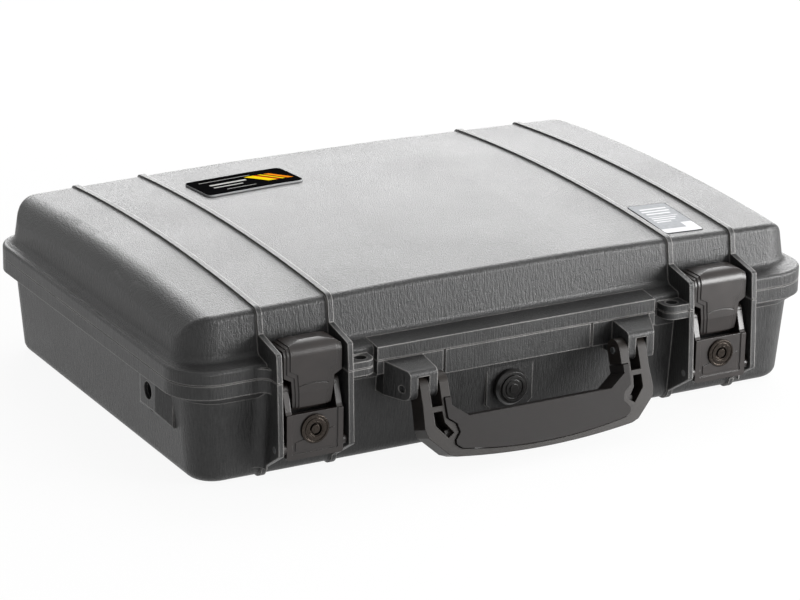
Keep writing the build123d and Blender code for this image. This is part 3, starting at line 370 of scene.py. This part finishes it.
def printedVinyl(c):
    # thin vinyl film: pale grey and matt, with white printing and a dark painted shadow drawn round its edge
    material, tree, shader = newMaterial("printedVinyl")
    local = flatPlace(tree, c["centre"], c["turn"])
    u, v, _ = addNode(tree, "ShaderNodeSeparateXYZ", {"Vector": local})
    ripple = spacedNoise(tree, (c["ripple"],) * 3)
    colour = addNode(tree, "ShaderNodeValToRGB", {"Fac": ripple}, tones(c))["Color"]
    layers = [(bar(tree, (u, v), *shape), c["white"]) for shape in c["bars"]]
    # painted shadow: a dark rim laid round the film's edge
    layers.append((rimMask(tree, local, c["half"], c["corner"], c["rimWidth"]), c["cut"]))
    for mask, paint in layers:  # plain colours laid one over another
        colour = addNode(tree, "ShaderNodeMix", {0: mask, 6: colour, 7: hexColour(paint)}, data_type="RGBA")[2]
    setSockets(tree, shader, {
        "Base Color": colour,
        "Roughness": addNode(tree, "ShaderNodeMapRange",
                             {"Value": ripple, **noiseMiddle, **toRange(c["roughness"])})["Result"],
        "Normal": roundedEdges(tree, c["edge"], ripple, c["reliefStrength"], c["relief"]),
        "IOR": c["ior"],
        "Specular IOR Level": c["gloss"],
    })
    return material


def finish(material, *names):
    for name in names:
        mesh = nodes[name].data
        mesh.materials.clear()
        mesh.materials.append(material)


shellPlastic = mouldedPolypropylene(shellResin)
latchAbs, handleNylon, gripRubber, valveNylon, sealRubber = [
    smallMoulding(name, c, mouldingMix) for name, c in mouldings.items()]
lockZinc, pinSteel = [platedMetal(name, c, plating) for name, c in metals.items()]
foam = openCellPolyurethane(liningFoam)
print("materials made")

finish(shellPlastic, "base_shell", "lid_shell")
finish(handleNylon, "handle_core")
finish(gripRubber, "handle_grip")
finish(valveNylon, "valve_body", "valve_cap", "valve_nut")
finish(sealRubber, "valve_seal", "lid_seal")
finish(printedPolycarbonate(namePlate), "badge_plate")
finish(printedVinyl(lidSticker), "lid_film")
finish(foam, "base_foam", "base_pad", "lid_foam")
for side in ("left_", "right_"):
    finish(latchAbs, side + "latch_frame", side + "latch_lever")
    finish(lockZinc, side + "lock_body", side + "lock_plug")
    finish(pinSteel, *[side + name for name in ("hinge_pin", "frame_pin", "handle_pin", "lever_pin", "lock_cam",
                                                "cam_screw", "lock_nut")])
print("nodes finished")


# foam linings, cut blocks that replace the plain solids; sizes in metres
middleY = 0.015508  # the linings' middle lies behind the origin


def foamPiece(name, body, points, faces):
    mesh = bpy.data.meshes.new(name)
    mesh.from_pydata(points, [], faces)
    mesh.validate()
    mesh.polygons.foreach_set("use_smooth", [True] * len(mesh.polygons))
    obj = bpy.data.objects.new(name, mesh)
    bpy.context.collection.objects.link(obj)
    mesh.materials.append(foam)
    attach(obj, body)
    return obj


def cornerWalk(half, radius, steps):
    # (y, half length) of each row across a rounded rectangle, from front to rear
    arc = [math.radians(90 * i / steps) for i in range(steps + 1)]
    front = [(-(half[1] - radius) - radius * math.cos(a), half[0] - radius + radius * math.sin(a)) for a in arc]
    return front, [(-y, x) for y, x in reversed(front)]


def gridRows(half, radius, columns, rows, steps=6):
    # rows of (x, y) points that fill a rounded rectangle, its edge following the corners
    front, rear = cornerWalk(half, radius, steps)
    low, high = front[-1][0], rear[0][0]
    middle = [(low + (high - low) * i / rows, half[0]) for i in range(1, rows)]
    return [[(x * (2 * i / columns - 1), y) for i in range(columns + 1)] for y, x in front + middle + rear]


def rimOrder(rows):
    # grid positions round the edge, anticlockwise from the front left
    last, right = len(rows) - 1, len(rows[0]) - 1
    loop = [(0, i) for i in range(right)] + [(j, right) for j in range(last)]
    return loop + [(last, i) for i in range(right, 0, -1)] + [(j, 0) for j in range(last, 0, -1)]


def foamBlock(name, body, c, bottom, top, relief=None):
    # bottom(x, y) and top(x, y) give heights; the walls go up by (inset, share of the height)
    points, faces = [], []
    smallestCorner = 0.002
    layers = [gridRows((c["half"][0] - inset, c["half"][1] - inset), max(c["corner"] - inset, smallestCorner),
                       c["columns"], c["rows"]) for inset, share in c["walls"]]

    def add(x, y, z):
        x, y, z = relief(x, y, z) if relief else (x, y, z)
        points.append((x, y + middleY, z))
        return len(points) - 1

    def sheet(layer, height, upwards):
        index = [[add(x, y, height(x, y)) for x, y in row] for row in layer]
        for j in range(len(index) - 1):
            for i in range(len(index[0]) - 1):
                quad = (index[j][i], index[j][i + 1], index[j + 1][i + 1], index[j + 1][i])
                faces.append(quad if upwards else quad[::-1])
        return index

    low = sheet(layers[0], bottom, False)
    order = rimOrder(layers[0])
    rings = [[low[j][i] for j, i in order]]
    for layer, (inset, share) in list(zip(layers, c["walls"]))[1:-1]:
        edge = [layer[j][i] for j, i in order]
        rings.append([add(x, y, bottom(x, y) * (1 - share) + top(x, y) * share) for x, y in edge])
    high = sheet(layers[-1], top, True)
    rings.append([high[j][i] for j, i in order])
    for below, above in zip(rings, rings[1:]):
        for k in range(len(order)):
            after = (k + 1) % len(order)
            faces.append((below[k], below[after], above[after], above[k]))
    return foamPiece(name, body, points, faces)


eggCrate = {
    "half": (0.2385, 0.1495), "corner": 0.020,
    "low": 0.0905, "deep": 0.016,   # peaks' height and depth of the hollows
    "pitch": 0.025,                 # between a peak and the next hollow
    "top": 0.1160, "fall": 0.0075,  # follows the lid's crown
    "columns": 152, "rows": 84,
    "walls": [(0.0, 0.0), (0.0008, 0.25), (0.0030, 0.9), (0.0045, 1.0)],
}


def lidLining(c):
    def waves(x, y):
        wave = math.cos(math.pi * x / c["pitch"]) * math.cos(math.pi * y / c["pitch"])
        return c["low"] + c["deep"] * (0.5 - 0.5 * wave)

    def crown(x, y):
        return c["top"] - c["fall"] * 0.5 * ((x / c["half"][0]) ** 2 + (y / c["half"][1]) ** 2)

    piece = foamBlock("lidEggCrateFoam", "lid", c, waves, crown)
    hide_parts("lid_foam")


valveRelief = {"half": 0.0165, "back": 0.1425}  # room that the valve's nut needs in the foam


floorPad = {
    "half": (0.2350, 0.1530), "corner": 0.018,
    "low": 0.0063, "high": 0.0358,
    "columns": 60, "rows": 34,
    "walls": [(0.0042, 0.0), (0.0026, 0.06), (0.0018, 0.18), (0.0010, 0.6), (0.0006, 0.93), (0.0016, 1.0)],
    "reliefLow": 0.0205,
}


def floorLining(c, room):
    def relief(x, y, z):
        if abs(x) <= room["half"] and z > c["reliefLow"]:
            y = max(y, -room["back"])
        return x, y, z

    piece = foamBlock("floorFoam", "base", c, lambda x, y: c["low"], lambda x, y: c["high"], relief)
    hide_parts("base_pad")


foamFrame = {
    "outer": (0.2358, 0.1540), "outerCorner": 0.019,
    "draft": 0.091,                 # outward run per unit of height
    "pocket": (0.1920, 0.1310), "pocketCorner": 0.006,
    "scoop": 0.017,                 # thumb scoops in the short sides
    "low": 0.0362, "high": 0.0700, "round": 0.0030,
    "reliefTop": 0.0520,
    "steps": {"scoop": 8, "short": 14, "corner": 8, "long": 24, "round": 4},
    "innerWall": (0.33, 0.66), "outerWall": (0.75, 0.5, 0.25, 0.0), "across": (0.25, 0.5, 0.75),
}


def frameOutline(c):
    # matching points round the pocket and round the outside, for one quarter, then mirrored
    px, py, pr = *c["pocket"], c["pocketCorner"]
    ox, oy, outerR = *c["outer"], c["outerCorner"]
    scoop, steps = c["scoop"], c["steps"]
    quarter = []
    for i in range(steps["scoop"] + 1):  # from the middle of the short side
        a = math.radians(90 * i / steps["scoop"])
        y = scoop * math.sin(a)
        quarter.append(((px + scoop * math.cos(a), y), (ox, y)))
    for i in range(1, steps["short"] + 1):
        t = i / steps["short"]
        quarter.append(((px, scoop + (py - pr - scoop) * t), (ox, scoop + (oy - outerR - scoop) * t)))
    for i in range(1, steps["corner"] + 1):
        a = math.radians(90 * i / steps["corner"])
        quarter.append(((px - pr + pr * math.cos(a), py - pr + pr * math.sin(a)),
                        (ox - outerR + outerR * math.cos(a), oy - outerR + outerR * math.sin(a))))
    for i in range(1, steps["long"] + 1):  # to the middle of the long side
        t = 1 - i / steps["long"]
        quarter.append((((px - pr) * t, py), ((ox - outerR) * t, oy)))
    mirrored = [[(-p[0], p[1]) for p in pair] for pair in reversed(quarter[:-1])]
    upper = quarter + mirrored
    return upper + [[(-p[0], -p[1]) for p in pair] for pair in upper[1:-1]]


def pocketLining(c, room):
    # a ring: up the pocket's wall, over the rounded top and down the outer wall
    r, low, high = c["round"], c["low"], c["high"]
    bend = [math.radians(90 * i / c["steps"]["round"]) for i in range(c["steps"]["round"] + 1)]
    over = [(r * (1 - math.cos(a)), high - r + r * math.sin(a)) for a in bend]
    inside = [(0.0, low)] + [(0.0, low + (high - r - low) * t) for t in c["innerWall"]] + over
    outside = over[::-1] + [(0.0, low + (high - r - low) * t) for t in c["outerWall"]]
    points, faces = [], []
    loop = frameOutline(c)
    for inner, outer in loop:
        inner, outer = Vector(inner), Vector(outer)
        across = (outer - inner).normalized()
        section = [(inner + across * inset, z) for inset, z in inside]
        first, last = inner + across * r, outer - across * r
        section += [(first.lerp(last, t), high) for t in c["across"]]
        for inset, z in outside:
            drawn = outer + across * (c["draft"] * (z - low) - inset)
            if abs(outer.x) <= room["half"] and outer.y < 0 and z < c["reliefTop"]:
                drawn.y = max(drawn.y, -room["back"])
            section.append((drawn, z))
        points += [(p.x, p.y + middleY, z) for p, z in section]
    around = len(points) // len(loop)
    for k in range(len(loop)):
        after = (k + 1) % len(loop)
        for i in range(around):
            up = (i + 1) % around
            faces.append((k * around + i, after * around + i, after * around + up, k * around + up))
    piece = foamPiece("pocketFoam", "base", points, faces)
    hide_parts("base_foam")


lidLining(eggCrate)
floorLining(floorPad, valveRelief)
pocketLining(foamFrame, valveRelief)
print("linings cut")


# floor, backdrop and lights
studio = {
    "floorHalf": 8.0,
    "paper": "#f2f2f2", "paperRoughness": 0.9,
    "floorGlow": 0.92,      # share of plain white in what the eye and reflections see of the floor
    "world": (0.10, 1.15),  # light from the left and from the right of the room
    "lamps": [
        # name, place, target, size, watts, whether it only shows in reflections
        ("bankBehind", (1.55, 2.35, 1.25), (0.0, 0.0, 0.12), (3.2, 1.7), 94.0, True),
        ("bankAbove", (1.0, 1.15, 2.0), (0.0, 0.0, 0.1), (2.2, 1.5), 34.0, False),
        ("rightFront", (1.12, -1.00, 0.30), (0.22, -0.13, 0.09), (1.2, 0.6), 34.0, False),
        ("rightCard", (0.50, -0.40, 0.05), (0.22, -0.12, 0.05), (0.30, 0.09), 0.65, True),
    ],
}


def seenRays(tree):
    # 1 for what the eye sees straight, in a mirror or through glass
    path = addNode(tree, "ShaderNodeLightPath")
    straight = addNode(tree, "ShaderNodeMath", {0: path["Is Camera Ray"], 1: path["Is Glossy Ray"]},
                       operation="MAXIMUM")[0]
    return addNode(tree, "ShaderNodeMath", {0: straight, 1: path["Is Transmission Ray"]}, operation="MAXIMUM")[0]


def backgroundPaper(c):
    # matt white paper: bright, with only a faint shadow left on it
    material, tree, shader = newMaterial("backgroundPaper")
    setSockets(tree, shader, {"Base Color": hexColour(c["paper"]), "Roughness": c["paperRoughness"],
                              "Specular IOR Level": 0.0})
    white = addNode(tree, "ShaderNodeEmission", {"Strength": 1.0})[0]
    share = addNode(tree, "ShaderNodeMath", {0: seenRays(tree), 1: c["floorGlow"]}, operation="MULTIPLY")[0]
    mixed = addNode(tree, "ShaderNodeMixShader", {0: share, 1: shader.outputs[0], 2: white})[0]
    tree.links.new(mixed, tree.nodes["Material Output"].inputs["Surface"])
    return material


def addFloor(c):
    h = c["floorHalf"]
    mesh = bpy.data.meshes.new("floor")
    mesh.from_pydata([(-h, -h, 0), (h, -h, 0), (h, h, 0), (-h, h, 0)], [], [(0, 1, 2, 3)])
    obj = bpy.data.objects.new("floor", mesh)
    bpy.context.collection.objects.link(obj)
    mesh.materials.append(backgroundPaper(c))


def addWorld(c):
    world = bpy.data.worlds.new("studio")
    bpy.context.scene.world = world
    world.use_nodes = True
    tree = world.node_tree
    way = addNode(tree, "ShaderNodeTexCoord")["Generated"]
    across = addNode(tree, "ShaderNodeSeparateXYZ", {"Vector": way})["X"]
    room = addNode(tree, "ShaderNodeMapRange",
                   {"Value": across, "From Min": -1.0, "From Max": 1.0, **toRange(c["world"])})["Result"]
    setSockets(tree, tree.nodes["Background"], {
        "Color": hexColour("#ffffff"),
        "Strength": addNode(tree, "ShaderNodeMix", {"Factor": seenRays(tree), "A": room, "B": 1.0})[0],
    })


def addLamp(name, place, target, size, watts, reflectionOnly):
    data = bpy.data.lights.new(name, "AREA")
    data.shape = "RECTANGLE"
    data.size, data.size_y = size
    data.energy = watts
    obj = bpy.data.objects.new(name, data)
    bpy.context.collection.objects.link(obj)
    obj.location = place
    obj.rotation_euler = (Vector(target) - Vector(place)).to_track_quat("-Z", "Y").to_euler()
    obj.visible_camera = False
    obj.visible_diffuse = not reflectionOnly


addFloor(studio)
addWorld(studio)
for lamp in studio["lamps"]:
    addLamp(*lamp)
bpy.context.scene.view_settings.view_transform = "Standard"
print("studio lit")
